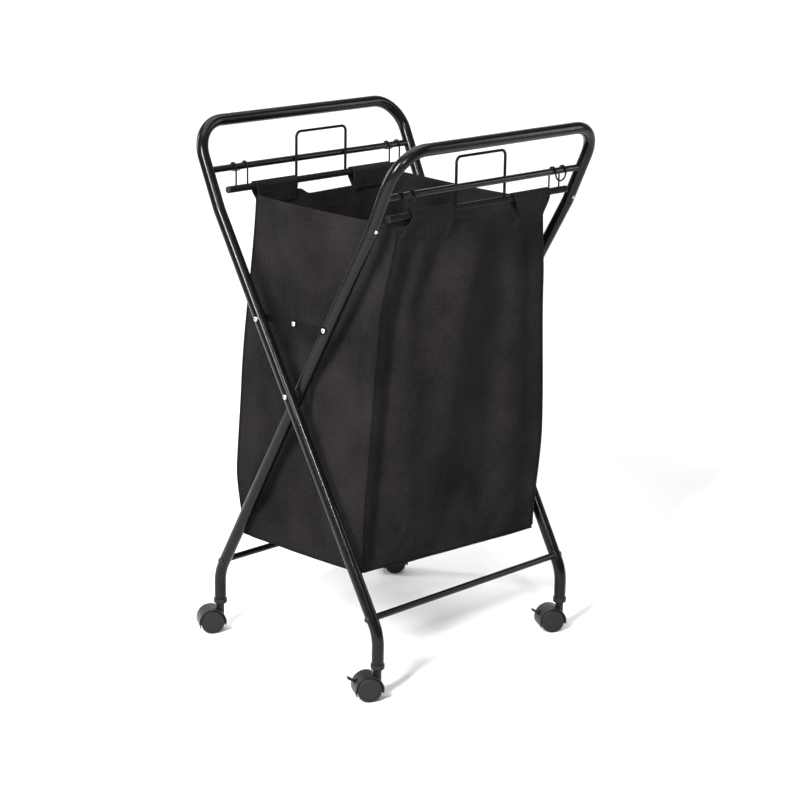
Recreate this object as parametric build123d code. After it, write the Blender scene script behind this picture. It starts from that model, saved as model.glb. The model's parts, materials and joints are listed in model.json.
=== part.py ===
"""Folding laundry cart: two crossed tube frames on casters, with a fabric bag hung on two lift-off hangers.

Row frame: X along the two handles, Y from the front (-Y) to the rear (+Y), Z up, and the
origin on the floor under the middle of the cart. All sizes are in millimetres.

The rear-handle frame has its handle at the rear and its feet at the front. The front-handle
frame is the same frame turned half round about Z. The two are shifted sideways, so that each
leg passes beside the other frame's leg, with a spacer between them at the pivot.
"""
from build123d import *
import math
import os

# ---- driving dimensions -------------------------------------------------------------------
OVERALL_LENGTH = 489.0        # X, over the outermost legs
OVERALL_DEPTH = 438.0         # Y, over the two handles
OVERALL_HEIGHT = 844.5        # Z, floor to the top of the handles

TUBE_R = 9.5                  # main frame tube
TUBE_WALL = 1.0
LEG_GAP = 3.0                 # between the two crossed legs on one side
BAR_R = 5.25                  # hanging bars and stretchers
BAR_WALL = 0.9

SHIFT = (2 * TUBE_R + LEG_GAP) / 2                          # each frame's sideways shift
HALF_TOP = (OVERALL_LENGTH - 2 * TUBE_R - 2 * SHIFT) / 2    # half width at the handle
HALF_FOOT = 214.0                                           # half width at the feet

# side profile of the rear-handle frame, tube centre line
FOOT_Y, FOOT_Z = -191.0, 51.0
KNEE_Y, KNEE_Z = -191.0, 102.0
JOINT_Y, JOINT_Z = 152.0, 707.5
TOP_Y, TOP_Z = OVERALL_DEPTH / 2 - TUBE_R, OVERALL_HEIGHT - TUBE_R
HANDLE_BEND_R = 55.0
KNEE_BEND_R = 70.0
KINK_BEND_R = 40.0

SWAGE_LENGTH = 24.0           # reduced leg end that slides up into the handle tube
SWAGE_GAP = 0.1
HANGING_BAR_Z = 765.0
STRETCHER_Z = 125.0

PIVOT_PIN_R = 2.5
RUNNING_GAP = 0.05
BRACE_Z = 551.0
LINK_WIDTH = 12.0
LINK_T = 1.0
BRACE_PIN_R = 2.0

HANGER_ROD_R = 5.5
HANGER_ROD_WALL = 1.0
HANGER_HALF = 200.0           # half the rod's length without its caps
HANGER_CAP_T = 2.0
HANGER_DROP = 33.0            # from the hanging bar's axis down to the rod's axis
HOOK_WIRE_R = 1.4
HOOK_SPREAD = 24.0            # between a hook's two wires
HOOK_X = 171.0                # hook's middle, each side of the hanger's middle
HOOK_LIP = {"front": 15.0, "rear": 7.0}   # how far the hooks reach below the hanging bar's axis
GRIP_WIRE_R = 2.25
GRIP_WIDTH = 110.0
GRIP_RISE = 77.0
FRONT_HANGER_X = 6.0          # the front hanger hangs a little off the middle

WHEEL_R = 19.0
WHEEL_INNER, WHEEL_OUTER = 4.6, 17.4      # a wheel's faces, from the caster's middle
HOOD_R, HOOD_WALL = 22.5, 2.0
HOOD_HALF = 17.0
WEB_HALF = 4.0
AXLE_R = 3.0
STEM_R = 4.0
NECK_R = 6.4
NECK_TOP = 46.5
TRAIL = 15.0
CASTER_HEADING = -32.3        # degrees about Z, the same for all four
LEVER_ANGLE = 150.0
LEVER_HUB_R = 16.0

BAG_BOTTOM_Z, BAG_TOP_Z = 177.0, 722.0
BAG_WALL = 2.0
LOOP_WALL = 1.2
LOOP_BASE_Z = 722.4

PARTS_DIR = "parts"


# ---- small helpers ------------------------------------------------------------------------
def turned(shape):
    """The same piece on the front-handle frame: half a turn about Z."""
    return Rot(0, 0, 180) * shape


def profile_point(z):
    """Centre line of the rear-handle frame's leg at height z: distance from the middle in X, and Y."""
    if z >= JOINT_Z:
        share = (z - JOINT_Z) / (TOP_Z - JOINT_Z)
        return HALF_TOP, JOINT_Y + (TOP_Y - JOINT_Y) * share
    share = (z - KNEE_Z) / (JOINT_Z - KNEE_Z)
    return HALF_FOOT + (HALF_TOP - HALF_FOOT) * share, KNEE_Y + (JOINT_Y - KNEE_Y) * share


PIVOT_Z = KNEE_Z - KNEE_Y * (JOINT_Z - KNEE_Z) / (JOINT_Y - KNEE_Y)
UP_TILT = math.atan2(TOP_Y - JOINT_Y, TOP_Z - JOINT_Z)


def run_or_bend(edge, radius):
    """A round rod along one straight run or one bend of a path."""
    section = Plane(origin=edge @ 0, z_dir=edge % 0) * Circle(radius)
    if edge.geom_type == GeomType.LINE:
        return extrude(section, edge.length)
    return sweep(section, path=edge)


def swept(path, radius):
    """A round rod of the given radius along a path of straight runs and bends."""
    first, *others = [run_or_bend(edge, radius) for edge in path.edges()]
    return first.fuse(*others)


def x_rod(radius, x_low, x_high, y, z):
    """A round rod along X."""
    rod = Cylinder(radius, x_high - x_low, rotation=(0, 90, 0))
    return Pos((x_low + x_high) / 2, y, z) * rod


def dome(radius, height):
    """A domed fastener head standing on the XY plane."""
    sphere_r = (radius**2 + height**2) / (2 * height)
    half_angle = math.asin(radius / sphere_r) / 2
    middle = (sphere_r * math.sin(half_angle), height - sphere_r + sphere_r * math.cos(half_angle))
    outline = Line((0, 0), (radius, 0))
    outline += ThreePointArc((radius, 0), middle, (0, height))
    outline += Line((0, height), (0, 0))
    return revolve(Plane.XZ * make_face(outline), Axis.Z)


def x_rivet(x_low, x_high, y, z, pin_r, head_r, head_h):
    """A rivet along X with a dome at each end; the pin spans x_low to x_high."""
    pin = x_rod(pin_r, x_low, x_high, y, z)
    high = Pos(x_high, y, z) * Rot(0, 90, 0) * dome(head_r, head_h)
    low = Pos(x_low, y, z) * Rot(0, -90, 0) * dome(head_r, head_h)
    return pin + high + low


def solids(*shapes):
    """Several separate solids as one node."""
    return Compound(children=[solid for shape in shapes for solid in shape.solids()])


NODES = {}


def node(name, *shapes):
    NODES[name] = solids(*shapes)


# ---- the crossed frames -------------------------------------------------------------------
def handle_path():
    left, right = -SHIFT - HALF_TOP, -SHIFT + HALF_TOP
    points = [(left, JOINT_Y, JOINT_Z), (left, TOP_Y, TOP_Z), (right, TOP_Y, TOP_Z), (right, JOINT_Y, JOINT_Z)]
    return FilletPolyline(*points, radius=HANDLE_BEND_R)


def leg_path(side):
    """From the joint down to the foot."""
    foot = (-SHIFT + side * HALF_FOOT, FOOT_Y, FOOT_Z)
    knee = (-SHIFT + side * HALF_FOOT, KNEE_Y, KNEE_Z)
    joint = (-SHIFT + side * HALF_TOP, JOINT_Y, JOINT_Z)
    return FilletPolyline(joint, knee, foot, radius=KNEE_BEND_R)


def swage(side, radius):
    """The reduced end above the joint, along the handle tube."""
    base = Pos(-SHIFT + side * HALF_TOP, JOINT_Y, JOINT_Z) * Rot(-math.degrees(UP_TILT), 0, 0)
    return base * Pos(0, 0, SWAGE_LENGTH / 2 - 1) * Cylinder(radius, SWAGE_LENGTH + 2)


HANDLE_SOLID = swept(handle_path(), TUBE_R)
HANDLE_BORE = swept(handle_path(), TUBE_R - TUBE_WALL)
LEG_SOLID = {side: swept(leg_path(side), TUBE_R) for side in (-1, 1)}
LEG_BORE = {side: swept(leg_path(side), TUBE_R - TUBE_WALL) for side in (-1, 1)}


def leg_x(side, z):
    """X of a rear-handle frame leg's centre line."""
    return -SHIFT + side * profile_point(z)[0]


def other_leg_x(side, z):
    """X of the front-handle frame's leg on the same side."""
    return SHIFT + side * profile_point(z)[0]


BRACE_Y = profile_point(BRACE_Z)[1]
STRETCHER_Y = profile_point(STRETCHER_Z)[1]
HANGING_BAR_Y = profile_point(HANGING_BAR_Z)[1]
SCREW_UP = 12.0               # handle screw above the joint, along the tube
SCREW_R, SCREW_HEAD_R, SCREW_HEAD_H = 2.0, 3.6, 2.0
BOLT_R, BOLT_HEAD_R, BOLT_HEAD_H = 2.6, 5.4, 4.6


def across_tube(side):
    """Frame of the screw just above the joint; its Z runs out through the tube's outer face."""
    base = Pos(-SHIFT + side * HALF_TOP, JOINT_Y, JOINT_Z) * Rot(-math.degrees(UP_TILT), 0, 0)
    return base * Pos(0, 0, SCREW_UP) * Rot(-90, 0, 0)


def make_handle_screw(side):
    """A pan-head screw through the handle tube and the leg's end inside it."""
    seat = across_tube(side) * Pos(0, 0, TUBE_R - 1.0)
    head = seat * dome(SCREW_HEAD_R, SCREW_HEAD_H + 1.0) - HANDLE_SOLID
    pin = seat * Pos(0, 0, -2.0) * Cylinder(SCREW_R, 6.0)
    return head + pin


def screw_hole(side):
    return across_tube(side) * Pos(0, 0, TUBE_R) * Cylinder(SCREW_R, 2 * TUBE_R)


def stretcher_bolt(side):
    """A dome-head bolt through the leg into the stretcher's end, its head on the leg's outside."""
    x = leg_x(side, STRETCHER_Z)
    face = x + side * (TUBE_R - 1.0)
    low, high = sorted((x + side * (TUBE_R + 1.0), x - side * (TUBE_R + 9.0)))
    pin = x_rod(BOLT_R, low, high, STRETCHER_Y, STRETCHER_Z)
    head = Pos(face, STRETCHER_Y, STRETCHER_Z) * Rot(0, 90 * side, 0) * dome(BOLT_HEAD_R, BOLT_HEAD_H + 1.0)
    return pin + (head - LEG_SOLID[side])


def x_hole(radius, side, z, y):
    """A hole along X right through the leg."""
    x = leg_x(side, z)
    return x_rod(radius, x - 2 * TUBE_R, x + 2 * TUBE_R, y, z)


def make_handle():
    tube_shape = HANDLE_SOLID - HANDLE_BORE
    for side in (-1, 1):
        tube_shape -= screw_hole(side)
    return tube_shape


def make_leg(side):
    swage_r = TUBE_R - TUBE_WALL - SWAGE_GAP
    tube_shape = (LEG_SOLID[side] - HANDLE_SOLID) + (swage(side, swage_r) - LEG_SOLID[side])
    tube_shape -= LEG_BORE[side]
    tube_shape -= swage(side, swage_r - TUBE_WALL)
    tube_shape -= screw_hole(side)
    tube_shape -= x_hole(BOLT_R, side, STRETCHER_Z, STRETCHER_Y)
    tube_shape -= x_hole(PIVOT_PIN_R + RUNNING_GAP, side, PIVOT_Z, 0)
    tube_shape -= x_hole(BRACE_PIN_R, side, BRACE_Z, BRACE_Y)
    return max(tube_shape.solids(), key=lambda solid: solid.volume)


def make_hanging_bar():
    left, right = leg_x(-1, HANGING_BAR_Z), leg_x(1, HANGING_BAR_Z)
    bar = x_rod(BAR_R, left, right, HANGING_BAR_Y, HANGING_BAR_Z) - HANDLE_SOLID
    bore = x_rod(BAR_R - BAR_WALL, left + 22, right - 22, HANGING_BAR_Y, HANGING_BAR_Z)
    return bar - bore


def make_stretcher():
    left, right = leg_x(-1, STRETCHER_Z), leg_x(1, STRETCHER_Z)
    bar = x_rod(BAR_R, left, right, STRETCHER_Y, STRETCHER_Z) - LEG_SOLID[-1] - LEG_SOLID[1]
    bore = x_rod(BAR_R - BAR_WALL, left + 30, right - 30, STRETCHER_Y, STRETCHER_Z)
    for side in (-1, 1):
        bar -= x_hole(BOLT_R, side, STRETCHER_Z, STRETCHER_Y)
    return bar - bore


SOCKET_R, SOCKET_LOW, SOCKET_HIGH, SOCKET_PLUG_TOP = 10.9, 47.0, 55.5, 78.0


def make_socket(side):
    """A plastic cup on the tube's end, with a plug inside the tube that carries the caster's stem."""
    x = -SHIFT + side * HALF_FOOT
    cup = Pos(x, FOOT_Y, (SOCKET_LOW + SOCKET_HIGH) / 2) * Cylinder(SOCKET_R, SOCKET_HIGH - SOCKET_LOW)
    cup = chamfer(cup.edges().group_by(Axis.Z)[0], 1.8)
    cup -= Pos(x, FOOT_Y, (FOOT_Z + SOCKET_HIGH + 1) / 2) * Cylinder(TUBE_R, SOCKET_HIGH + 1 - FOOT_Z)
    plug_r = TUBE_R - TUBE_WALL
    plug = Pos(x, FOOT_Y, (FOOT_Z + SOCKET_PLUG_TOP) / 2) * Cylinder(plug_r, SOCKET_PLUG_TOP - FOOT_Z)
    stem_hole = Pos(x, FOOT_Y, 60) * Cylinder(STEM_R + RUNNING_GAP, 32)
    return cup + plug - stem_hole


def make_frame_nodes(handle_name, foot_name, place):
    """The pieces of one frame; place turns them for the second frame."""
    left, right = (-1, 1) if place is identity else (1, -1)
    node(f"{handle_name}_handle", place(make_handle()))
    node(f"{foot_name}_left_leg", place(make_leg(left)))
    node(f"{foot_name}_right_leg", place(make_leg(right)))
    node(f"{handle_name}_hanging_bar", place(make_hanging_bar()))
    node(f"{foot_name}_stretcher", place(make_stretcher()))
    node(f"{foot_name}_stretcher_bolts", *[place(stretcher_bolt(side)) for side in (-1, 1)])
    node(f"{foot_name}_leg_sockets", *[place(make_socket(side)) for side in (-1, 1)])
    node(f"{handle_name}_handle_screws", *[place(make_handle_screw(side)) for side in (-1, 1)])


def identity(shape):
    return shape


# ---- pivots and braces --------------------------------------------------------------------
PIVOT_HEAD_R, PIVOT_HEAD_H = 4.0, 1.8
SPACER_R, SPACER_T = 9.0, 2.5
LEFT = -1


def make_pivot_rivet():
    """Left side: through the rear-handle frame's leg, the spacer and the other frame's leg."""
    outside = leg_x(LEFT, PIVOT_Z) - TUBE_R - 0.1
    inside = other_leg_x(LEFT, PIVOT_Z) + TUBE_R + 0.1
    return x_rivet(outside, inside, 0, PIVOT_Z, PIVOT_PIN_R, PIVOT_HEAD_R, PIVOT_HEAD_H)


def make_pivot_spacer():
    middle = (leg_x(LEFT, PIVOT_Z) + other_leg_x(LEFT, PIVOT_Z)) / 2
    low, high = middle - SPACER_T / 2, middle + SPACER_T / 2
    ring = x_rod(SPACER_R, low, high, 0, PIVOT_Z)
    return ring - x_rod(PIVOT_PIN_R, low - 1, high + 1, 0, PIVOT_Z)


# the brace's two links lie between the legs, one layer each, folding down as the cart closes
LINK_INNER_X = other_leg_x(LEFT, BRACE_Z) - TUBE_R - 0.2            # on the front-handle frame's leg
LINK_OUTER_X = LINK_INNER_X - 2 * LINK_T - 0.2                      # outer face of the other link
LINK_PIN_GAP = RUNNING_GAP
BRACE_HEAD_R, BRACE_HEAD_H = 3.9, 1.7


def make_link(x_low, y_pin, y_open, open_pin_r):
    """A flat link with round ends: one pin at y_pin and the middle rivet at y_open."""
    length = abs(y_open - y_pin)
    blank = SlotCenterToCenter(length, LINK_WIDTH)
    blank -= Pos(-length / 2, 0) * Circle(BRACE_PIN_R + LINK_PIN_GAP)
    blank -= Pos(length / 2, 0) * Circle(open_pin_r)
    flat = extrude(blank, LINK_T)
    turn = 90 if y_open > y_pin else -90
    lying = Pos(0, 0, 0) * Rot(0, 0, turn) * flat
    return Pos(x_low, (y_pin + y_open) / 2, BRACE_Z) * Rot(0, 90, 0) * Rot(0, 0, 0) * lying


def make_rear_link():
    return make_link(LINK_OUTER_X, BRACE_Y, 0, BRACE_PIN_R)


def make_front_link():
    return make_link(LINK_INNER_X - LINK_T, -BRACE_Y, 0, BRACE_PIN_R + 1.0)


def make_rear_brace_rivet():
    """Through the rear-handle frame's left leg and the rear link."""
    outside = leg_x(LEFT, BRACE_Z) - TUBE_R - 0.1
    inside = LINK_OUTER_X + LINK_T + 0.1
    rivet = x_rod(BRACE_PIN_R, outside, inside, BRACE_Y, BRACE_Z)
    rivet += Pos(outside, BRACE_Y, BRACE_Z) * Rot(0, -90, 0) * dome(BRACE_HEAD_R, BRACE_HEAD_H)
    return rivet + Pos(inside, BRACE_Y, BRACE_Z) * Rot(0, 90, 0) * dome(BRACE_HEAD_R - 0.5, 0.8)


def make_front_brace_rivet():
    """Through the front link and the front-handle frame's left leg."""
    outside = LINK_INNER_X - LINK_T - 0.1
    inside = other_leg_x(LEFT, BRACE_Z) + TUBE_R + 0.1
    return x_rivet(outside, inside, -BRACE_Y, BRACE_Z, BRACE_PIN_R, BRACE_HEAD_R, BRACE_HEAD_H)


def make_middle_rivet():
    """Fixed in the rear link; the front link's eye is left open round it."""
    outside, inside = LINK_OUTER_X, LINK_OUTER_X + LINK_T
    rivet = x_rod(BRACE_PIN_R, outside, inside, 0, BRACE_Z)
    return rivet + Pos(outside, 0, BRACE_Z) * Rot(0, -90, 0) * dome(BRACE_HEAD_R, BRACE_HEAD_H)


def make_brace_nodes():
    node("pivot_rivets", make_pivot_rivet(), turned(make_pivot_rivet()))
    node("pivot_spacers", make_pivot_spacer(), turned(make_pivot_spacer()))
    node("left_rear_link", make_rear_link())
    node("left_front_link", make_front_link())
    node("right_front_link", turned(make_rear_link()))
    node("right_rear_link", turned(make_front_link()))
    node("left_brace_middle_rivet", make_middle_rivet())
    node("right_brace_middle_rivet", turned(make_middle_rivet()))
    node("rear_frame_brace_rivets", make_rear_brace_rivet(), turned(make_front_brace_rivet()))
    node("front_frame_brace_rivets", make_front_brace_rivet(), turned(make_rear_brace_rivet()))


# ---- hangers ------------------------------------------------------------------------------
ROD_Z = HANGING_BAR_Z - HANGER_DROP
WIRE_GAP = 0.15
GRIP_Y = HANGING_BAR_Y - BAR_R - GRIP_WIRE_R - WIRE_GAP - 0.15
HOOK_BEND_R = BAR_R + HOOK_WIRE_R + WIRE_GAP


def hanger_rod_solid():
    return x_rod(HANGER_ROD_R, -HANGER_HALF, HANGER_HALF, GRIP_Y, ROD_Z)


def make_hanger_rod():
    bore = x_rod(HANGER_ROD_R - HANGER_ROD_WALL, -HANGER_HALF - 1, HANGER_HALF + 1, GRIP_Y, ROD_Z)
    return hanger_rod_solid() - bore


def make_hanger_cap(side):
    """A plug in the rod's end with a bevelled rim outside it."""
    rim = Cylinder(HANGER_ROD_R, HANGER_CAP_T)
    rim = chamfer(rim.edges().group_by(Axis.Z)[-1], 0.8)
    plug = Pos(0, 0, -HANGER_CAP_T / 2 - 3) * Cylinder(HANGER_ROD_R - HANGER_ROD_WALL, 6)
    x = side * (HANGER_HALF + HANGER_CAP_T / 2)
    return Pos(x, GRIP_Y, ROD_Z) * Rot(0, 90 * side, 0) * (rim + plug)


def make_hook(name, side):
    """One wire: up from the rod, over the hanging bar, round a closed lip and back."""
    inner, outer = HANGING_BAR_Y - HOOK_BEND_R, HANGING_BAR_Y + HOOK_BEND_R
    crest, lip = HANGING_BAR_Z + HOOK_BEND_R, HANGING_BAR_Z - HOOK_LIP[name]
    low_x, high_x = side * HOOK_X - HOOK_SPREAD / 2, side * HOOK_X + HOOK_SPREAD / 2
    half = [(inner, ROD_Z + 1), (inner, crest), (outer, crest), (outer, lip)]
    points = [(low_x, y, z) for y, z in half] + [(high_x, y, z) for y, z in reversed(half)]
    top_r = HOOK_BEND_R - 0.02
    lip_r = min(HOOK_SPREAD / 2, HOOK_LIP[name]) - 0.1
    path = FilletPolyline(*points, radius=[top_r, top_r, lip_r, lip_r, top_r, top_r])
    section = Plane(origin=path @ 0, z_dir=path % 0) * Circle(HOOK_WIRE_R)
    return sweep(section, path=path) - hanger_rod_solid()


def make_grip():
    """The wire handle that stands on the rod behind the hanging bar."""
    top = ROD_Z + GRIP_RISE
    low_x, high_x = -GRIP_WIDTH / 2, GRIP_WIDTH / 2
    points = [(low_x, GRIP_Y, ROD_Z + 1), (low_x, GRIP_Y, top), (high_x, GRIP_Y, top), (high_x, GRIP_Y, ROD_Z + 1)]
    return swept(FilletPolyline(*points, radius=9), GRIP_WIRE_R) - hanger_rod_solid()


def make_hanger_nodes(name, place):
    node(f"{name}_hanger_rod", place(make_hanger_rod()))
    node(f"{name}_hanger_caps", place(make_hanger_cap(-1)), place(make_hanger_cap(1)))
    node(f"{name}_hanger_hooks", place(make_hook(name, -1)), place(make_hook(name, 1)))
    node(f"{name}_hanger_grip", place(make_grip()))


def front_hanger_place(shape):
    return Pos(FRONT_HANGER_X, 0, 0) * turned(shape)


# ---- casters ------------------------------------------------------------------------------
def y_disc(radius, y_low, y_high, x=0.0, z=0.0):
    """A disc whose axis is along Y."""
    return Pos(x, (y_low + y_high) / 2, z) * Cylinder(radius, y_high - y_low, rotation=(90, 0, 0))


def caster_place(x, y):
    """From the caster's own frame, stem on Z and wheel trailing along -X, to a foot."""
    return Pos(x, y, 0) * Rot(0, 0, CASTER_HEADING)


LEVER_X = -TRAIL + LEVER_HUB_R * math.cos(math.radians(LEVER_ANGLE))
LEVER_Z = WHEEL_R + LEVER_HUB_R * math.sin(math.radians(LEVER_ANGLE))


def lever_pocket():
    """The slot through the hood and web in which the brake lever sits and swings."""
    pocket = y_disc(3.4, -3.1, 3.1)
    wedge = Polyline((0, -3.2), (0, 3.2), (14, 5.2), (14, -7.6), close=True)
    pocket += extrude(Plane.XZ * make_face(wedge), 3.1, both=True)
    turned_out = Pos(LEVER_X, 0, LEVER_Z) * Rot(0, -LEVER_ANGLE, 0)
    return turned_out * pocket + y_disc(1.25, -WEB_HALF - 1, WEB_HALF + 1, LEVER_X, LEVER_Z)


def make_hood(with_lever):
    """Web, wheel cover and neck in one moulding."""
    cover = y_disc(HOOD_R, -HOOD_HALF, HOOD_HALF, -TRAIL, WHEEL_R)
    neck = Pos(0, 0, (WHEEL_R + NECK_TOP) / 2) * Cylinder(NECK_R, NECK_TOP - WHEEL_R)
    hood = cover + neck
    for side in (-1, 1):
        low, high = sorted((side * WEB_HALF, side * 40))
        hood -= y_disc(HOOD_R - HOOD_WALL, low, high, -TRAIL, WHEEL_R)
    below = Pos(-TRAIL, 0, WHEEL_R - 6.6 - 30) * Rot(0, -5.2, 0) * Box(80, 80, 60)
    hood -= below
    hood -= y_disc(AXLE_R, -20, 20, -TRAIL, WHEEL_R)
    hood -= Pos(0, 0, 28 + 15) * Cylinder(STEM_R, 30)
    if with_lever:
        hood -= lever_pocket()
    return max(hood.solids(), key=lambda solid: solid.volume)


def make_wheel(side):
    """One of the twin wheels: a closed outer disc, a rim and a blind axle hole."""
    low, high = sorted((side * WHEEL_INNER, side * WHEEL_OUTER))
    wheel = y_disc(WHEEL_R, low, high, -TRAIL, WHEEL_R)
    outer_edges = wheel.edges().group_by(Axis.Y)
    wheel = chamfer(outer_edges[0] if side < 0 else outer_edges[-1], 1.0)
    dish_low, dish_high = sorted((side * (WHEEL_OUTER - 0.6), side * (WHEEL_OUTER + 1)))
    wheel -= y_disc(WHEEL_R - 3.6, dish_low, dish_high, -TRAIL, WHEEL_R)
    bore_low, bore_high = sorted((side * (WHEEL_INNER - 1), side * 14.6))
    return wheel - y_disc(AXLE_R + RUNNING_GAP, bore_low, bore_high, -TRAIL, WHEEL_R)


def make_axle():
    return y_disc(AXLE_R, -14.4, 14.4, -TRAIL, WHEEL_R)


def make_stem():
    return Pos(0, 0, 50) * Cylinder(STEM_R, 44)


def make_lever():
    """Hub with trunnions in the web, an arm out through the slot, and a wide toe."""
    hub = y_disc(3.0, -2.8, 2.8) + y_disc(1.2, -WEB_HALF + 0.1, WEB_HALF - 0.1)
    arm = Pos(9.5, 0, 0) * Box(19, 5.6, 2.8)
    toe = Pos(16.6, 0, 0.3) * Box(8.2, 10.5, 2.8)
    toe = fillet(toe.edges().filter_by(Axis.Z), 1.8)
    return Pos(LEVER_X, 0, LEVER_Z) * Rot(0, -LEVER_ANGLE, 0) * (hub + arm + toe)


FEET = {
    "front_left": (-SHIFT - HALF_FOOT, FOOT_Y, True),
    "front_right": (-SHIFT + HALF_FOOT, FOOT_Y, True),
    "rear_left": (SHIFT - HALF_FOOT, -FOOT_Y, False),
    "rear_right": (SHIFT + HALF_FOOT, -FOOT_Y, False),
}


def make_caster_nodes():
    for name, (x, y, with_lever) in FEET.items():
        place = caster_place(x, y)
        node(f"{name}_caster_hood", place * make_hood(with_lever))
        node(f"{name}_caster_stem", place * make_stem())
        node(f"{name}_caster_axle", place * make_axle())
        node(f"{name}_wheel_near", place * make_wheel(-1))
        node(f"{name}_wheel_far", place * make_wheel(1))
        if with_lever:
            node(f"{name}_brake_lever", place * make_lever())


# ---- bag ----------------------------------------------------------------------------------
# corners in the order front left, front right, rear right, rear left
BAG_TOP = [(-185, -162), (157, -162), (185, 162), (-148, 162)]
BAG_BOTTOM = [(-187, -131), (171, -150), (175, 132), (-184, 150)]


def ring(corners, z, inset):
    """The bag's outline at one height, moved inwards on all sides."""
    outline = Polyline(*[(x, y) for x, y in corners], close=True)
    face = offset(make_face(outline), amount=-inset) if inset else make_face(outline)
    return Pos(0, 0, z) * face


def make_bag():
    """A box of fabric, open at the top."""
    outer = loft([ring(BAG_BOTTOM, BAG_BOTTOM_Z, 0), ring(BAG_TOP, BAG_TOP_Z, 0)], ruled=True)
    above = BAG_TOP_Z + 10
    inner = loft([ring(BAG_BOTTOM, BAG_BOTTOM_Z + BAG_WALL, BAG_WALL), ring(BAG_TOP, above, BAG_WALL)], ruled=True)
    return outer - inner


LOOPS_REAR = [(-156, -58), (66, 157)]        # spans in X, in the hanger's own frame
LOOPS_FRONT = [(-157, -71), (60, 156)]


def make_loop(span):
    """A sleeve of fabric round the rear hanger's rod."""
    inner_r = HANGER_ROD_R + 0.3
    outer_r = inner_r + LOOP_WALL
    length = span[1] - span[0]
    middle = (span[0] + span[1]) / 2
    drop = ROD_Z - LOOP_BASE_Z
    outer = Cylinder(outer_r, length, rotation=(0, 90, 0))
    outer += Pos(0, 0, -drop / 2) * Box(length, 2 * outer_r, drop)
    inner = Cylinder(inner_r, length + 2, rotation=(0, 90, 0))
    inner += Pos(0, 0, -(drop - LOOP_WALL) / 2) * Box(length + 2, 2 * inner_r, drop - LOOP_WALL)
    return Pos(middle, GRIP_Y, ROD_Z) * (outer - inner)


def make_bag_nodes():
    node("bag", make_bag())
    node("rear_bag_loops", *[make_loop(span) for span in LOOPS_REAR])
    node("front_bag_loops", *[front_hanger_place(make_loop(span)) for span in LOOPS_FRONT])


def middle_of_box():
    """X and Y of the middle of the whole cart's box; the trailing casters push it off the pivot."""
    boxes = [shape.bounding_box() for shape in NODES.values()]
    x = (min(box.min.X for box in boxes) + max(box.max.X for box in boxes)) / 2
    y = (min(box.min.Y for box in boxes) + max(box.max.Y for box in boxes)) / 2
    return x, y


def write_nodes():
    """One file per node, with the origin on the floor under the middle of the cart's box."""
    os.makedirs(PARTS_DIR, exist_ok=True)
    x, y = middle_of_box()
    print("pivot moved to", round(-x, 3), round(-y, 3))
    for name, shape in NODES.items():
        export_step(Pos(-x, -y, 0) * shape, os.path.join(PARTS_DIR, f"{name}.step"))


make_frame_nodes("rear", "front", identity)
make_frame_nodes("front", "rear", turned)
make_brace_nodes()
make_hanger_nodes("rear", identity)
make_hanger_nodes("front", front_hanger_place)
make_caster_nodes()
make_bag_nodes()
write_nodes()
print(len(NODES), "nodes; pivot height", round(PIVOT_Z, 2), "brace y", round(BRACE_Y, 2))
print("hanging bar y", round(HANGING_BAR_Y, 2), "grip y", round(GRIP_Y, 2))
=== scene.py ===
"""Looks for the folding laundry cart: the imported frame's materials, and the sewn bag, loops and stitches."""
import json
import math

import bmesh
import bpy
import numpy as np
from mathutils import Matrix, Vector


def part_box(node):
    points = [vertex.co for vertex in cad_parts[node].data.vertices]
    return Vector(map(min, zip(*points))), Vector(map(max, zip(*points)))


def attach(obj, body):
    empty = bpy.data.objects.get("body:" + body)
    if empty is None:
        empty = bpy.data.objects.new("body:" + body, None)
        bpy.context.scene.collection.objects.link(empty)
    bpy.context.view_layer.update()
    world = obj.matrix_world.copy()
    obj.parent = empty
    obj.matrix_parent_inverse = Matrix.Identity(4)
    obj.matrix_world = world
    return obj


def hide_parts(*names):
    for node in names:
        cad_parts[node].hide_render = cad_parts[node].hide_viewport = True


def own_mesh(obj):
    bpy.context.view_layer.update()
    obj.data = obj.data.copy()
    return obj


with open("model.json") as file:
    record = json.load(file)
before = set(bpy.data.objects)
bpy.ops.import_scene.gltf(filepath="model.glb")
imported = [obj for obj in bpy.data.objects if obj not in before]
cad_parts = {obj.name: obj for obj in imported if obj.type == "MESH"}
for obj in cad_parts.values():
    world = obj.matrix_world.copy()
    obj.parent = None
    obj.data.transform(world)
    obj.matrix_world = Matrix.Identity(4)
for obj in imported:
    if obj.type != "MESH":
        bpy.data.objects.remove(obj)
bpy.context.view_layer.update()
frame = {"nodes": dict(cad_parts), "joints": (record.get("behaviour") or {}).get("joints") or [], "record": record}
MM = 0.001
JOINTS = {joint["name"]: joint for joint in frame["joints"]}
PIVOT = Vector(JOINTS["rear_frame_fold"]["pos_m"])


def at(x, y, z):
    """Millimetres from the point on the floor under the fold pivot, as metres in the frame."""
    return Vector((PIVOT.x + x * MM, PIVOT.y + y * MM, z * MM))


# ---- material helpers ---------------------------------------------------------------------
def new_material(name):
    material = bpy.data.materials.new(name)
    material.use_nodes = True
    nodes = material.node_tree.nodes
    links = material.node_tree.links
    return material, nodes, links, nodes["Principled BSDF"]


def noise(nodes, links, vector, scale, detail=3.0, rough=0.55):
    texture = nodes.new("ShaderNodeTexNoise")
    texture.inputs["Scale"].default_value = scale
    texture.inputs["Detail"].default_value = detail
    texture.inputs["Roughness"].default_value = rough
    links.new(vector, texture.inputs["Vector"])
    return texture.outputs["Fac"]


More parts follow.
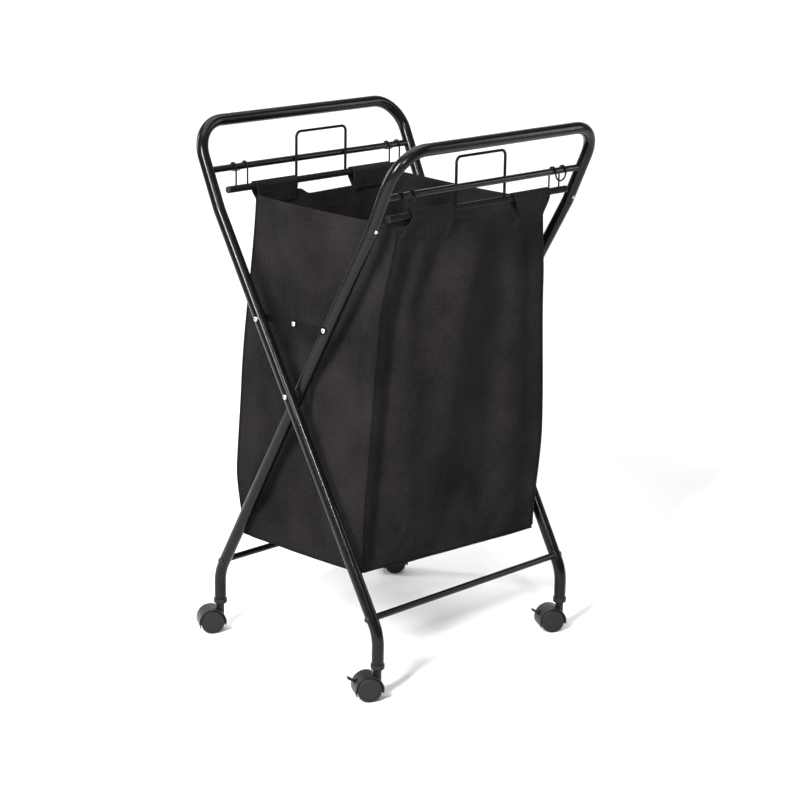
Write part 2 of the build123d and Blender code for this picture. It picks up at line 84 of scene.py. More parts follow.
def ramp(nodes, links, value, low, high, out_low, out_high):
    """Maps a value's range low..high to out_low..out_high."""
    mapping = nodes.new("ShaderNodeMapRange")
    mapping.inputs["From Min"].default_value = low
    mapping.inputs["From Max"].default_value = high
    mapping.inputs["To Min"].default_value = out_low
    mapping.inputs["To Max"].default_value = out_high
    links.new(value, mapping.inputs["Value"])
    return mapping.outputs["Result"]


def mix_colour(nodes, links, factor, first, second):
    mix = nodes.new("ShaderNodeMix")
    mix.data_type = "RGBA"
    mix.inputs["A"].default_value = (*first, 1)
    mix.inputs["B"].default_value = (*second, 1)
    links.new(factor, mix.inputs["Factor"])
    return mix.outputs["Result"]


def bump(nodes, links, height, strength, distance, below=None):
    node = nodes.new("ShaderNodeBump")
    node.inputs["Strength"].default_value = strength
    node.inputs["Distance"].default_value = distance
    links.new(height, node.inputs["Height"])
    if below is not None:
        links.new(below, node.inputs["Normal"])
    return node.outputs["Normal"]


def object_coordinates(nodes):
    return nodes.new("ShaderNodeTexCoord").outputs["Object"]


def coated_metal(name, dark, light, rough, gloss, grain=900.0, grain_bump=0.05):
    """Powder coat: a clear gloss over a faint orange peel, with a little uneven wear in the gloss."""
    material, nodes, links, shader = new_material(name)
    place = object_coordinates(nodes)
    cloudy = noise(nodes, links, place, 14.0, 4.0)
    links.new(mix_colour(nodes, links, cloudy, dark, light), shader.inputs["Base Color"])
    smudge = noise(nodes, links, place, 60.0, 5.0, 0.65)
    links.new(ramp(nodes, links, smudge, 0.35, 0.7, rough, rough + 0.1), shader.inputs["Roughness"])
    shader.inputs["Specular IOR Level"].default_value = gloss
    peel = noise(nodes, links, place, grain, 2.0)
    links.new(bump(nodes, links, peel, grain_bump, 0.0004), shader.inputs["Normal"])
    return material


def zinc(name):
    """Bright zinc plate, slightly cloudy."""
    material, nodes, links, shader = new_material(name)
    place = object_coordinates(nodes)
    cloudy = noise(nodes, links, place, 300.0, 4.0)
    tint = mix_colour(nodes, links, cloudy, (0.36, 0.37, 0.39), (0.6, 0.61, 0.62))
    links.new(tint, shader.inputs["Base Color"])
    shader.inputs["Metallic"].default_value = 1.0
    links.new(ramp(nodes, links, cloudy, 0.3, 0.7, 0.2, 0.38), shader.inputs["Roughness"])
    fine = noise(nodes, links, place, 2500.0, 2.0)
    links.new(bump(nodes, links, fine, 0.1, 0.0002), shader.inputs["Normal"])
    return material


def moulded(name, dark, light, rough):
    """Moulded plastic with a fine spark-eroded grain."""
    material, nodes, links, shader = new_material(name)
    place = object_coordinates(nodes)
    cloudy = noise(nodes, links, place, 35.0, 4.0)
    links.new(mix_colour(nodes, links, cloudy, dark, light), shader.inputs["Base Color"])
    links.new(ramp(nodes, links, cloudy, 0.3, 0.7, rough, rough + 0.12), shader.inputs["Roughness"])
    grain = noise(nodes, links, place, 2200.0, 3.0, 0.7)
    shader.inputs["Specular IOR Level"].default_value = 0.25
    links.new(bump(nodes, links, grain, 0.25, 0.0003), shader.inputs["Normal"])
    return material


def weave_wave(nodes, links, vector, direction, scale):
    wave = nodes.new("ShaderNodeTexWave")
    wave.wave_type = "BANDS"
    wave.bands_direction = direction
    wave.wave_profile = "SIN"
    wave.inputs["Scale"].default_value = scale
    wave.inputs["Distortion"].default_value = 1.4
    wave.inputs["Detail"].default_value = 1.0
    wave.inputs["Detail Scale"].default_value = 0.3
    links.new(vector, wave.inputs["Vector"])
    return wave.outputs["Fac"]


def combine(nodes, links, operation, first, second):
    node = nodes.new("ShaderNodeMath")
    node.operation = operation
    links.new(first, node.inputs[0])
    if isinstance(second, float):
        node.inputs[1].default_value = second
    else:
        links.new(second, node.inputs[1])
    return node.outputs[0]


def woven(name, dark, light, thread_pitch, sheen):
    """Woven polyester: crossed threads, slubs, faint wear and a soft sheen."""
    material, nodes, links, shader = new_material(name)
    flat = nodes.new("ShaderNodeUVMap").outputs["UV"]
    place = object_coordinates(nodes)
    bands = 2 * math.pi / thread_pitch / 20.0
    warp = weave_wave(nodes, links, flat, "X", bands)
    weft = weave_wave(nodes, links, flat, "Y", bands)
    threads = combine(nodes, links, "MULTIPLY", warp, weft)
    slub = noise(nodes, links, place, 420.0, 4.0, 0.7)
    heather = noise(nodes, links, place, 1100.0, 2.0, 0.6)
    cloudy = noise(nodes, links, place, 9.0, 4.0)
    mixed = combine(nodes, links, "ADD", combine(nodes, links, "MULTIPLY", heather, 0.6),
                    combine(nodes, links, "MULTIPLY", slub, 0.4))
    tone = combine(nodes, links, "ADD", combine(nodes, links, "MULTIPLY", mixed, 0.75),
                   combine(nodes, links, "MULTIPLY", cloudy, 0.25))
    spread = ramp(nodes, links, tone, 0.38, 0.64, 0.0, 1.0)
    links.new(mix_colour(nodes, links, spread, dark, light), shader.inputs["Base Color"])
    shader.inputs["Roughness"].default_value = 0.88
    shader.inputs["Specular IOR Level"].default_value = 0.02
    shader.inputs["Sheen Weight"].default_value = sheen
    shader.inputs["Sheen Roughness"].default_value = 0.45
    shader.inputs["Sheen Tint"].default_value = (0.9, 0.86, 0.9, 1)
    crumple = bump(nodes, links, noise(nodes, links, place, 38.0, 4.0, 0.5), 0.22, 0.004)
    woven_up = bump(nodes, links, threads, 0.3, 0.0003, crumple)
    links.new(bump(nodes, links, slub, 0.18, 0.0003, woven_up), shader.inputs["Normal"])
    return material


MATERIALS = {
    "black_tube": coated_metal("black_tube", (0.0022, 0.0022, 0.0025), (0.0042, 0.0042, 0.0046),
                               0.17, 0.18),
    "black_wire": coated_metal("black_wire", (0.003, 0.003, 0.0033), (0.005, 0.005, 0.0054),
                               0.42, 0.08, 1500.0),
    "black_flat_bar": coated_metal("black_flat_bar", (0.002, 0.002, 0.0023), (0.004, 0.004, 0.0044),
                                   0.4, 0.06, 1200.0),
    "black_bolt": coated_metal("black_bolt", (0.005, 0.005, 0.0055), (0.01, 0.01, 0.0105),
                               0.3, 0.25, 1800.0),
    "zinc_steel": zinc("zinc_steel"),
    "black_plastic": moulded("black_plastic", (0.004, 0.004, 0.0044), (0.008, 0.008, 0.0084), 0.42),
    "caster_plastic": moulded("caster_plastic", (0.004, 0.004, 0.0044), (0.007, 0.007, 0.0074),
                              0.34),
    "wheel_plastic": moulded("wheel_plastic", (0.006, 0.006, 0.0064), (0.012, 0.012, 0.0124), 0.4),
    "bag_fabric": woven("bag_fabric", (0.0018, 0.0016, 0.0017), (0.0198, 0.0176, 0.0192),
                        0.0009, 0.006),
    "thread": coated_metal("thread", (0.006, 0.006, 0.0065), (0.015, 0.015, 0.016), 0.6, 0.1, 3000.0, 0.2),
}


def paint_frame():
    """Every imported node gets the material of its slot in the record."""
    slots = {row["node"]: row["material_slot"] for row in frame["record"]["subparts"]}
    for name, piece in frame["nodes"].items():
        piece.data.materials.clear()
        piece.data.materials.append(MATERIALS[slots[name]])
        for polygon in piece.data.polygons:
            polygon.material_index = 0


paint_frame()


# ---- bag shell ----------------------------------------------------------------------------
# corners in the order front left, front right, rear right, rear left, from the pivot, in millimetres
BAG_TOP = [(-185, -163), (160, -163), (186, 162), (-147, 162)]
BAG_BOTTOM = [(-189, -118), (173, -151), (176, 132), (-188, 152)]
BAG_BOTTOM_Z, BAG_TOP_Z = 174.0, 721.0
CLOTH = 1.3
SIDES = ("front", "right", "rear", "left")
ACROSS, UP = 84, 132

# soft folds: side, from (across, up), to (across, up), width and depth in mm; across runs
# from the first corner of the side to the next, up from the bottom to the hem
FOLDS = [
    ("front", (0.085, 0.02), (0.11, 1.02), 12, -27.0),
    ("front", (0.21, -0.02), (0.22, 0.70), 14, 8.0),
    ("front", (0.30, 0.12), (0.50, 0.95), 26, 20.0),
    ("front", (0.22, 0.60), (0.30, 1.0), 14, -10.0),
    ("front", (0.42, -0.02), (0.54, 0.42), 22, -6.0),
    ("front", (0.66, 0.04), (0.72, 0.90), 26, -12.0),
    ("front", (0.84, 0.0), (0.80, 0.88), 20, 7.0),
    ("front", (0.93, 0.08), (0.92, 0.97), 11, -6.0),
    ("front", (0.17, -0.01), (0.24, 0.08), 7, -4.0),
    ("front", (0.72, -0.01), (0.60, 0.16), 10, 5.0),
    ("front", (0.86, 0.16), (0.74, 0.02), 10, -4.0),
    ("left", (0.06, 0.98), (0.30, 0.66), 10, -9.0),
    ("left", (0.30, 0.66), (0.50, 0.42), 11, -10.0),
    ("left", (0.22, 1.0), (0.60, 0.52), 26, 10.0),
    ("left", (0.12, 0.02), (0.13, 0.72), 12, 9.0),
    ("left", (0.24, 0.10), (0.26, 0.60), 12, -7.0),
    ("left", (0.42, 0.46), (0.66, 0.05), 12, -9.0),
    ("left", (0.60, 0.62), (0.84, 0.10), 28, 10.0),
    ("left", (0.94, 0.97), (0.56, 0.58), 20, -9.0),
    ("left", (0.28, 0.0), (0.20, 0.18), 10, -5.0),
    ("left", (0.80, 0.90), (0.90, 0.30), 12, -5.0),
    ("right", (0.12, 0.97), (0.42, 0.4), 22, -8.0),
    ("right", (0.85, 0.95), (0.55, 0.35), 24, 8.0),
    ("right", (0.50, 0.0), (0.46, 0.35), 18, -6.0),
    ("right", (0.08, 0.02), (0.12, 0.6), 14, 6.0),
    ("rear", (0.08, 0.02), (0.10, 0.95), 13, -9.0),
    ("rear", (0.42, 0.1), (0.50, 0.95), 30, 9.0),
    ("rear", (0.75, 0.0), (0.70, 0.85), 24, -8.0),
    ("rear", (0.90, 0.05), (0.92, 0.95), 12, 6.0),
]
# how far each side bellies out at mid height, in mm
BELLY = {"front": 5.0, "right": 5.0, "rear": 6.0, "left": -5.0}


def fold_depth(side, across, up, width, height):
    """Sum of the side's folds at points across and up, in mm."""
    total = np.zeros_like(across)
    for where, start, end, spread, depth in FOLDS:
        if where != side:
            continue
        x0, y0, x1, y1 = start[0] * width, start[1] * height, end[0] * width, end[1] * height
        dx, dy = x1 - x0, y1 - y0
        along = ((across * width - x0) * dx + (up * height - y0) * dy) / (dx * dx + dy * dy)
        held = np.clip(along, 0, 1)
        away = np.hypot(across * width - x0 - held * dx, up * height - y0 - held * dy)
        fade = np.exp(-((held - 0.5) * 1.5) ** 4)
        total += depth * fade * np.exp(-0.5 * (away / spread) ** 2)
    return total


def smooth(value):
    """0 to 1 with level ends."""
    held = np.clip(value, 0, 1)
    return held * held * (3 - 2 * held)


# the gap between the two loops of a side, as shares of the side, and the hem's drop at each end
GAPS = {"front": (0.37, 0.81, 3.0, 25.0), "rear": (0.30, 0.66, 7.0, 9.0)}


def top_drop(side, across):
    """How far the top hem hangs below the bag's top, in mm: it sags between the loops."""
    if side not in GAPS:
        return 1.5 + 2.5 * np.sin(np.pi * across)
    drop = 1.5 + 1.5 * smooth(across / 0.05) * smooth((1 - across) / 0.05)
    low, high, first, last = GAPS[side]
    inside = np.clip((across - low) / (high - low), 0, 1)
    window = smooth((across - low + 0.02) / 0.03) * smooth((high + 0.05 - across) / 0.06)
    return drop + window * (first + (last - first) * inside)


ROD_PULL = 5.0


def towards_rod(side, across, z):
    """The loops pull the top of the front and the rear out towards the rods, in mm."""
    if side not in GAPS:
        return 0.0 * across
    low, high = GAPS[side][:2]
    loops = smooth((low + 0.04 - across) / 0.1) + smooth((across - high + 0.04) / 0.1)
    corners = smooth(across / 0.08) * smooth((1 - across) / 0.08)
    return ROD_PULL * np.clip(loops, 0, 1) * corners * smooth((z - 560) / 150)


def ripple(seed, across, up):
    """Small unevenness of cloth, the same each run."""
    rng = np.random.default_rng(seed)
    total = np.zeros_like(across)
    for _ in range(14):
        kx, ky = rng.uniform(1, 7), rng.uniform(0.5, 5)
        phase = rng.uniform(0, 2 * np.pi)
        slant = rng.uniform(-2, 2)
        total += np.sin(2 * np.pi * (kx * across + ky * up + slant * across * up) + phase) / (kx + ky)
    return total


HEM = 25.0        # height of the top hem, in mm
HEM_RAISE = 1.1


def side_points(index):
    """Points of one side of the bag, as an array [across, up, xyz] in mm from the pivot."""
    side = SIDES[index]
    c0b, c1b = np.array(BAG_BOTTOM[index], float), np.array(BAG_BOTTOM[(index + 1) % 4], float)
    c0t, c1t = np.array(BAG_TOP[index], float), np.array(BAG_TOP[(index + 1) % 4], float)
    across, up = np.meshgrid(np.linspace(0, 1, ACROSS + 1), np.linspace(0, 1, UP + 1), indexing="ij")
    width = (np.linalg.norm(c1b - c0b) + np.linalg.norm(c1t - c0t)) / 2
    height = BAG_TOP_Z - BAG_BOTTOM_Z
    low = c0b + (c1b - c0b) * across[..., None]
    high = c0t + (c1t - c0t) * across[..., None]
    flat = low + (high - low) * up[..., None]
    first, last = sway_at(CORNER_SWAY[index], up), sway_at(CORNER_SWAY[(index + 1) % 4], up)
    flat += first + (last - first) * smooth(across)[..., None]
    outward = np.array([(c1b - c0b)[1], -(c1b - c0b)[0]])
    outward /= np.linalg.norm(outward)
    edge = np.sin(np.pi * np.clip(across, 0, 1)) ** 0.6
    calm_top = np.clip((1 - up) / 0.10, 0.12, 1)
    calm_foot = np.clip(up / 0.02, 0.25, 1)
    out = BELLY[side] * np.sin(np.pi * across) * np.sin(np.pi * np.clip(up, 0, 1)) ** 0.7
    out += fold_depth(side, across, up, width, height) * np.minimum(calm_top, calm_foot)
    out += 0.8 * ripple(11 + index, across, up) * calm_top
    out *= edge
    top = BAG_TOP_Z - top_drop(side, across)
    z = BAG_BOTTOM_Z + (top - BAG_BOTTOM_Z) * up
    z -= 2.2 * np.sin(np.pi * across) * (1 - up) ** 6
    out += towards_rod(side, across, z)
    from_top = top - z
    hem = np.where(from_top < HEM, HEM_RAISE, 0.0) - 0.9 * np.exp(-0.5 * ((from_top - HEM) / 1.6) ** 2)
    out += hem * np.clip(edge * 2, 0, 1)
    points = np.empty(flat.shape[:2] + (3,))
    points[..., :2] = flat + outward * out[..., None]
    points[..., 2] = z
    return points, width, height


# how each upright corner leaves the straight line from its foot to its top: share of the height,
# then the shift along X and along Y in mm
CORNER_SWAY = [
    [(0, 0.0, 0.0), (0.2, 0.0, 5.0), (0.72, 0.0, 5.0), (1, 10.0, -6.0)],
    [(0, 0.0, 0.0), (0.32, 14.0, -1.5), (0.75, 7.0, 0.0), (1, 0.0, 0.0)],
    [(0, 0.0, 0.0), (0.3, 6.0, 5.0), (1, 0.0, 0.0)],
    [(0, 0.0, 0.0), (0.2, -1.0, 18.0), (0.45, -1.0, 15.5), (1, 0.0, 0.0)],
]


def sway_at(stops, up):
    """The corner's shift at each height, eased between its stops."""
    total = np.zeros(up.shape + (2,))
    for (low, *first), (high, *last) in zip(stops, stops[1:]):
        inside = (up >= low) & (up <= high)
        ease = smooth((up - low) / (high - low))[..., None]
        start, end = np.array(first), np.array(last)
        total = np.where(inside[..., None], start + (end - start) * ease, total)
    return total


def mesh_object(name, vertices, faces, uvs=None, material=None, smooth=True):
    mesh = bpy.data.meshes.new(name)
    mesh.from_pydata([tuple(v) for v in vertices], [], faces)
    if uvs is not None:
        layer = mesh.uv_layers.new(name="UVMap")
        loops = np.array([loop.vertex_index for loop in mesh.loops])
        layer.data.foreach_set("uv", np.asarray(uvs, float)[loops].ravel())
    for polygon in mesh.polygons:
        polygon.use_smooth = smooth
    piece = bpy.data.objects.new(name, mesh)
    bpy.context.scene.collection.objects.link(piece)
    if material is not None:
        mesh.materials.append(MATERIALS[material])
    return piece


def grid_faces(columns, rows, offset=0):
    """Quads of a columns x rows grid whose points run row by row inside each column."""
    faces = []
    for i in range(columns - 1):
        for j in range(rows - 1):
            a = offset + i * rows + j
            faces.append((a, a + rows, a + rows + 1, a + 1))
    return faces


def apply_modifiers(piece):
    bpy.context.view_layer.objects.active = piece
    for modifier in list(piece.modifiers):
        bpy.ops.object.modifier_apply(modifier=modifier.name)
    return piece


def thicken(piece, thickness, offset=-1.0, subdivide=0):
    if subdivide:
        rounder = piece.modifiers.new("rounder", "SUBSURF")
        rounder.levels = rounder.render_levels = subdivide
    solid = piece.modifiers.new("thickness", "SOLIDIFY")
    solid.thickness = thickness * MM
    solid.offset = offset
    return apply_modifiers(piece)


def to_frame(points):
    """Millimetres from the pivot to metres in the frame, for an array of points."""
    shift = np.array([PIVOT.x, PIVOT.y, 0.0])
    return np.asarray(points) * MM + shift


SHELL = [side_points(i) for i in range(4)]


def floor_points(columns=60, rows=50):
    """The bag's floor panel, sagging a little in the middle, its edge on the sides' bottom edges."""
    edges = [points[:, 0, :] for points, _, _ in SHELL]

    def along(index, t):
        points = edges[index]
        steps = np.linspace(0, 1, len(points))
        return np.array([np.interp(t, steps, points[:, k]) for k in range(3)]).T

    u, v = np.linspace(0, 1, columns), np.linspace(0, 1, rows)
    front, rear = along(0, u), along(2, 1 - u)
    right, left = along(1, v), along(3, 1 - v)
    uu, vv = np.meshgrid(u, v, indexing="ij")
    mixed = (1 - vv)[..., None] * front[:, None] + vv[..., None] * rear[:, None]
    mixed += (1 - uu)[..., None] * left[None] + uu[..., None] * right[None]
    corners = (1 - uu)[..., None] * (1 - vv)[..., None] * front[0]
    corners = corners + uu[..., None] * (1 - vv)[..., None] * front[-1]
    corners += (1 - uu)[..., None] * vv[..., None] * rear[0] + uu[..., None] * vv[..., None] * rear[-1]
    points = mixed - corners
    inside = np.clip(np.sin(np.pi * uu) * np.sin(np.pi * vv), 0, 1)
    points[..., 2] += (1.6 * ripple(31, uu, vv) + 2.0) * inside ** 0.8
    return points


def make_bag():
    """Four sides and a floor, welded along their seams, with the cloth's thickness inwards."""
    vertices, faces, uvs, start = [], [], [], 0.0
    for points, width, height in SHELL:
        offset = len(vertices)
        columns, rows = points.shape[:2]
        vertices.extend(points.reshape(-1, 3))
        across = start + np.linspace(0, width, columns) * MM
        up = np.linspace(0, height, rows) * MM
        uvs.extend([(a, b) for a in across for b in up])
        faces.extend(grid_faces(columns, rows, offset))
        start += width * MM
    floor = floor_points()
    offset = len(vertices)
    vertices.extend(floor.reshape(-1, 3))
    uvs.extend([(p[0] * MM, p[1] * MM) for p in floor.reshape(-1, 3)])
    faces.extend([face[::-1] for face in grid_faces(*floor.shape[:2], offset)])
    bag = mesh_object("bag_cloth", to_frame(vertices), faces, uvs, "bag_fabric")
    bm = bmesh.new()
    bm.from_mesh(bag.data)
    bmesh.ops.remove_doubles(bm, verts=bm.verts, dist=0.00002)
    bm.to_mesh(bag.data)
    bm.free()
    return thicken(bag, CLOTH)


bag = make_bag()


def tube_along(name, points, radius, material, sides=8):
    """A round cord through points in mm from the pivot."""
    points = np.asarray(points, float)
    tangents = np.gradient(points, axis=0)
    tangents /= np.linalg.norm(tangents, axis=1)[:, None]
    guide = np.array([0.31, 0.87, 0.23])
    first = np.cross(tangents, guide)
    first /= np.linalg.norm(first, axis=1)[:, None]
    second = np.cross(tangents, first)
    turn = np.linspace(0, 2 * np.pi, sides, endpoint=False)
    rings = points[:, None] + radius * (np.cos(turn)[None, :, None] * first[:, None]
                                        + np.sin(turn)[None, :, None] * second[:, None])
    vertices = rings.reshape(-1, 3)
    faces = []
    for i in range(len(points) - 1):
        for k in range(sides):
            a, b = i * sides + k, i * sides + (k + 1) % sides
            faces.append((a, b, b + sides, a + sides))
    faces.append(tuple(range(sides))[::-1])
    faces.append(tuple((len(points) - 1) * sides + k for k in range(sides)))
    uvs = [(i * 0.002, k * 0.001) for i in range(len(points)) for k in range(sides)]
    return mesh_object(name, to_frame(vertices), faces, uvs, material)


def outward_of(index):
    low, high = np.array(BAG_BOTTOM[index], float), np.array(BAG_BOTTOM[(index + 1) % 4], float)
    direction = high - low
    out = np.array([direction[1], -direction[0], 0.0])
    return out / np.linalg.norm(out)


def seam_pieces():
    """A raised seam allowance down each upright corner and round the floor's edge."""
    made = []
    for index, side in enumerate(SIDES):
        points = SHELL[index][0]
        out = outward_of(index) + outward_of((index + 3) % 4)
        corner = points[0] + 0.5 * out
        made.append(tube_along(f"seam_{side}_corner", corner[1:-1], 1.25, "bag_fabric"))
        edge = points[:, 0] + 0.5 * outward_of(index) + np.array([0, 0, -0.1])
        made.append(tube_along(f"seam_{side}_foot", edge, 1.1, "bag_fabric"))
    return made


def stitch_row(name, points, outward, length=2.2, gap=1.4, radius=0.28):
    """A row of thread stitches lying on cloth, along points in mm from the pivot."""
    points = np.asarray(points, float)
    steps = np.concatenate([[0], np.cumsum(np.linalg.norm(np.diff(points, axis=0), axis=1))])
    starts = np.arange(gap, steps[-1] - length - gap, length + gap)

    def along(distance):
        return np.array([np.interp(distance, steps, points[:, k]) for k in range(3)]).T

    vertices, faces = [], []
    for low, middle, high in zip(along(starts), along(starts + length / 2), along(starts + length)):
        direction = (high - low) / np.linalg.norm(high - low)
        side = np.cross(direction, outward)
        side /= np.linalg.norm(side)
        base = len(vertices)
        for centre, size in ((low, 0.4), (middle, 1.0), (high, 0.4)):
            lift = outward * radius * (1.1 if size == 1.0 else -0.2)
            for a, b in ((1, 0), (0, 1), (-1, 0), (0, -1)):
                vertices.append(centre + lift + radius * size * (a * side + b * outward))
        for ring in (0, 4):
            for k in range(4):
                a, b = base + ring + k, base + ring + (k + 1) % 4
                faces.append((a, b, b + 4, a + 4))
        faces.append((base + 3, base + 2, base + 1, base))
        faces.append((base + 8, base + 9, base + 10, base + 11))
    return mesh_object(name, to_frame(vertices), faces, None, "thread")


def hem_stitches():
    """One row of stitches round the lower edge of the top hem."""
    made = []
    for index, side in enumerate(SIDES):
        points = SHELL[index][0]
        outward = outward_of(index)
        top = points[:, -1, 2]
        row = []
        for column, edge in zip(points, top):
            from_top = edge - column[:, 2]
            order = np.argsort(from_top)
            row.append([np.interp(HEM - 2.4, from_top[order], column[order, k]) for k in range(3)])
        row = np.array(row)[2:-2] + outward * 0.15
        made.append(stitch_row(f"hem_stitches_{side}", row, outward))
    return made


# ---- loops of the bag round the hanger rods -----------------------------------------------
ROD_Z = (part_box("rear_hanger_rod")[0][2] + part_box("rear_hanger_rod")[1][2]) / 2 / MM
ROD_R = (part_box("rear_hanger_rod")[1][2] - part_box("rear_hanger_rod")[0][2]) / 2 / MM
ROD_Y = (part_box("rear_hanger_rod")[0][1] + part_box("rear_hanger_rod")[1][1]) / 2 / MM
ROD_Y -= PIVOT.y / MM
FRONT_ROD_Y = (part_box("front_hanger_rod")[0][1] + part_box("front_hanger_rod")[1][1]) / 2 / MM
FRONT_ROD_Y -= PIVOT.y / MM


def surface_y(side, x, z):
    """How far out from the pivot the side's cloth is at x and z, in mm."""
    points = SHELL[SIDES.index(side)][0].reshape(-1, 3)
    nearest = np.argmin((points[:, 0] - x) ** 2 + (points[:, 2] - z) ** 2)
    return abs(points[nearest, 1])


INNER_FOOT_Z = 702.0
ROD_SLACK = 0.55    # between a rod and the cloth round it, in mm
WRAP_PAST = 0.35    # how far the cloth wraps past the rod's half turn each side, in radians


def loop_profile(outer_foot, inner_foot, steps=46):
    """The loop's section seen along the rod: offset outwards from the rod, and height. Outer foot first."""
    wrap = ROD_R + ROD_SLACK + CLOTH
    turns = np.linspace(-WRAP_PAST, math.pi + WRAP_PAST, steps // 2)
    arc = [(wrap * math.cos(a), ROD_Z + wrap * math.sin(a)) for a in turns]
    low_out, low_in = arc[0], arc[-1]
    outer, inner = [], []
    for t in np.linspace(0, 1, steps // 4, endpoint=False):
        ease = t * t * (3 - 2 * t)
        for flap, foot, low in ((outer, outer_foot, low_out), (inner, inner_foot, low_in)):
            flap.append((foot[0] + (low[0] - foot[0]) * ease, foot[1] + (low[1] - foot[1]) * t))
    return np.array(outer + arc + inner[::-1])


def make_loop(name, span, seed, lean, foot, stitched=True):
    """A band of cloth over a hanger's rod; lean moves its foot's ends along the rod, foot is their height."""
    x_low, x_high = span
    side = name.split("_")[0]
    node, body = f"{side}_hanger_rod", f"{side}_hanger"
    rod_y, sign = (ROD_Y, 1) if side == "rear" else (FRONT_ROD_Y, -1)
    columns = 40
    across = np.linspace(0, 1, columns)
    rows = []
    for t in across:
        x = x_low + lean[0] + (x_high + lean[1] - x_low - lean[0]) * t
        foot_z = foot[0] + (foot[1] - foot[0]) * t
        outer = surface_y(side, x, foot_z) - abs(rod_y) + 0.9
        inner = surface_y(side, x, INNER_FOOT_Z) - abs(rod_y) - CLOTH - 1.0
        profile = loop_profile((outer, foot_z), (inner, INNER_FOOT_Z))
        share = np.linspace(0, 1, len(profile))
        drop = np.clip((ROD_Z - profile[:, 1]) / (ROD_Z - foot_z), 0, 1)
        low, high = x_low + lean[0] * drop, x_high + lean[1] * drop
        wave = 0.4 * ripple(seed, np.full_like(share, t), share) * np.sin(np.pi * drop) ** 0.8
        out_y = rod_y + sign * (profile[:, 0] + wave)
        rows.append(np.stack([low + (high - low) * t, out_y, profile[:, 1]], axis=1))
    points = np.array(rows)
    lengths = np.concatenate([[0], np.cumsum(np.linalg.norm(np.diff(profile, axis=0), axis=1))])
    uvs = [(x_low * MM + t * (x_high - x_low) * MM, d * MM) for t in across for d in lengths]
    faces = grid_faces(columns, len(profile))
    if sign < 0:
        faces = [face[::-1] for face in faces]
    piece = mesh_object(name, to_frame(points.reshape(-1, 3)), faces, uvs, "bag_fabric")
    thicken(piece, CLOTH, offset=0.0)
    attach(piece, body)
    if stitched:
        outward = np.array([0.0, float(sign), 0.0])
        row = points[1:-1, 2] + outward * (CLOTH / 2 + 0.1)
        stitches = stitch_row(name + "_stitches", row, outward)
        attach(stitches, body)
    return piece


REAR_LOOPS = [make_loop("rear_left_loop", (-147, -58), 41, (8.0, 0.0), (697, 697)),
              make_loop("rear_right_loop", (67, 156), 42, (3.0, 2.0), (697, 697))]
FRONT_LOOPS = [make_loop("front_left_loop", (-149, -57), 43, (-18.0, -4.0), (700.5, 688.5)),
               make_loop("front_right_loop", (78, 162), 44, (26.0, -4.0), (688, 684), stitched=False)]
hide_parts("rear_bag_loops")
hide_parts("front_bag_loops")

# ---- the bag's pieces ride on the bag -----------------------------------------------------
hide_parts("bag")
for piece in [bag] + seam_pieces() + hem_stitches():
    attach(piece, "bag")
    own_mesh(piece)


# ---- stage, light and camera --------------------------------------------------------------
def make_floor():
    """A pale floor that runs back into a curved backdrop."""
    half, reach, rise = 4.0, 3.2, 3.0
    profile = [(-5.0, 0.0), (reach - 1.0, 0.0)]
    for a in np.linspace(0.1, math.pi / 2, 12):
        profile.append((reach - 1.0 + math.sin(a), 1.0 - math.cos(a)))
    profile.append((reach, rise))
    vertices = [(x, y, z) for x in (-half, half) for y, z in profile]
    faces = grid_faces(2, len(profile))
    floor = mesh_object("floor", vertices, faces)
    floor.rotation_euler = (0, 0, CAMERA_YAW)
    material, nodes, links, shader = new_material("floor")
    shader.inputs["Base Color"].default_value = (0.9, 0.9, 0.9, 1)
    shader.inputs["Roughness"].default_value = 0.7
    floor.data.materials.append(material)


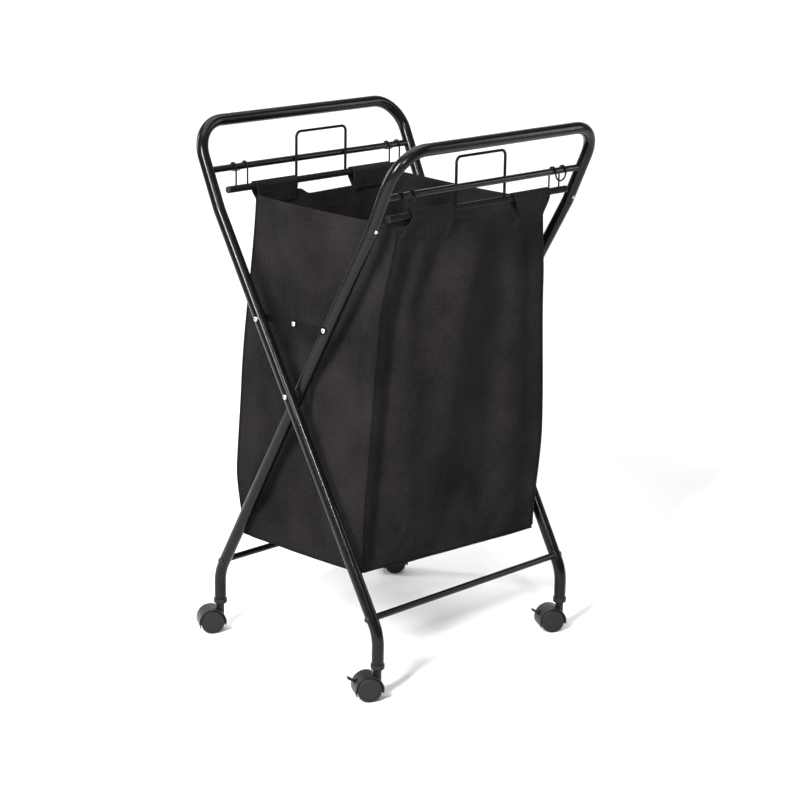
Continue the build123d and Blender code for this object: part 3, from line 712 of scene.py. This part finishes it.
CAMERA_PLACE = at(-2544.07, -2446.23, 1340.62)
CAMERA_YAW, CAMERA_PITCH, CAMERA_ROLL = (math.radians(a) for a in (-46.29, -15.059, 0.896))
CAMERA_LENS = 102.56


def make_camera():
    forward = Vector((-math.sin(CAMERA_YAW) * math.cos(CAMERA_PITCH),
                      math.cos(CAMERA_YAW) * math.cos(CAMERA_PITCH), math.sin(CAMERA_PITCH)))
    right = forward.cross(Vector((0, 0, 1))).normalized()
    up = right.cross(forward)
    c, s = math.cos(CAMERA_ROLL), math.sin(CAMERA_ROLL)
    right, up = c * right + s * up, c * up - s * right
    camera_data = bpy.data.cameras.new("camera")
    camera_data.lens = CAMERA_LENS
    camera_data.sensor_width = 36
    camera = bpy.data.objects.new("camera", camera_data)
    turn = Matrix((right, up, -forward)).transposed().to_4x4()
    camera.matrix_world = Matrix.Translation(CAMERA_PLACE) @ turn
    bpy.context.scene.collection.objects.link(camera)
    bpy.context.scene.camera = camera


def area_light(name, place, target, size, power, spread=180.0):
    data = bpy.data.lights.new(name, "AREA")
    data.spread = math.radians(spread)
    data.shape = "RECTANGLE"
    data.size, data.size_y = size
    data.energy = power
    light = bpy.data.objects.new(name, data)
    light.location = place
    light.rotation_euler = (Vector(target) - Vector(place)).to_track_quat("-Z", "Y").to_euler()
    bpy.context.scene.collection.objects.link(light)


def make_lights():
    middle = (PIVOT.x, PIVOT.y, 0.45)
    area_light("key", (-2.7, -0.9, 2.2), middle, (0.45, 1.3), 240)
    area_light("side", (-1.2, 2.4, 1.5), middle, (0.4, 1.5), 45)
    area_light("fill", (2.3, -1.9, 1.3), middle, (0.3, 1.5), 14)
    area_light("glow", (-1.3, -2.1, 1.75), at(-60, -160, 590), (0.25, 0.25), 1.2, spread=24.0)
    area_light("top", (0.2, 0.2, 2.9), middle, (2.4, 2.4), 60)
    world = bpy.data.worlds.new("world")
    world.use_nodes = True
    world.node_tree.nodes["Background"].inputs["Color"].default_value = (1, 1, 1, 1)
    world.node_tree.nodes["Background"].inputs["Strength"].default_value = 0.16
    bpy.context.scene.world = world


make_floor()
make_camera()
make_lights()
bpy.context.scene.view_settings.view_transform = "Standard"
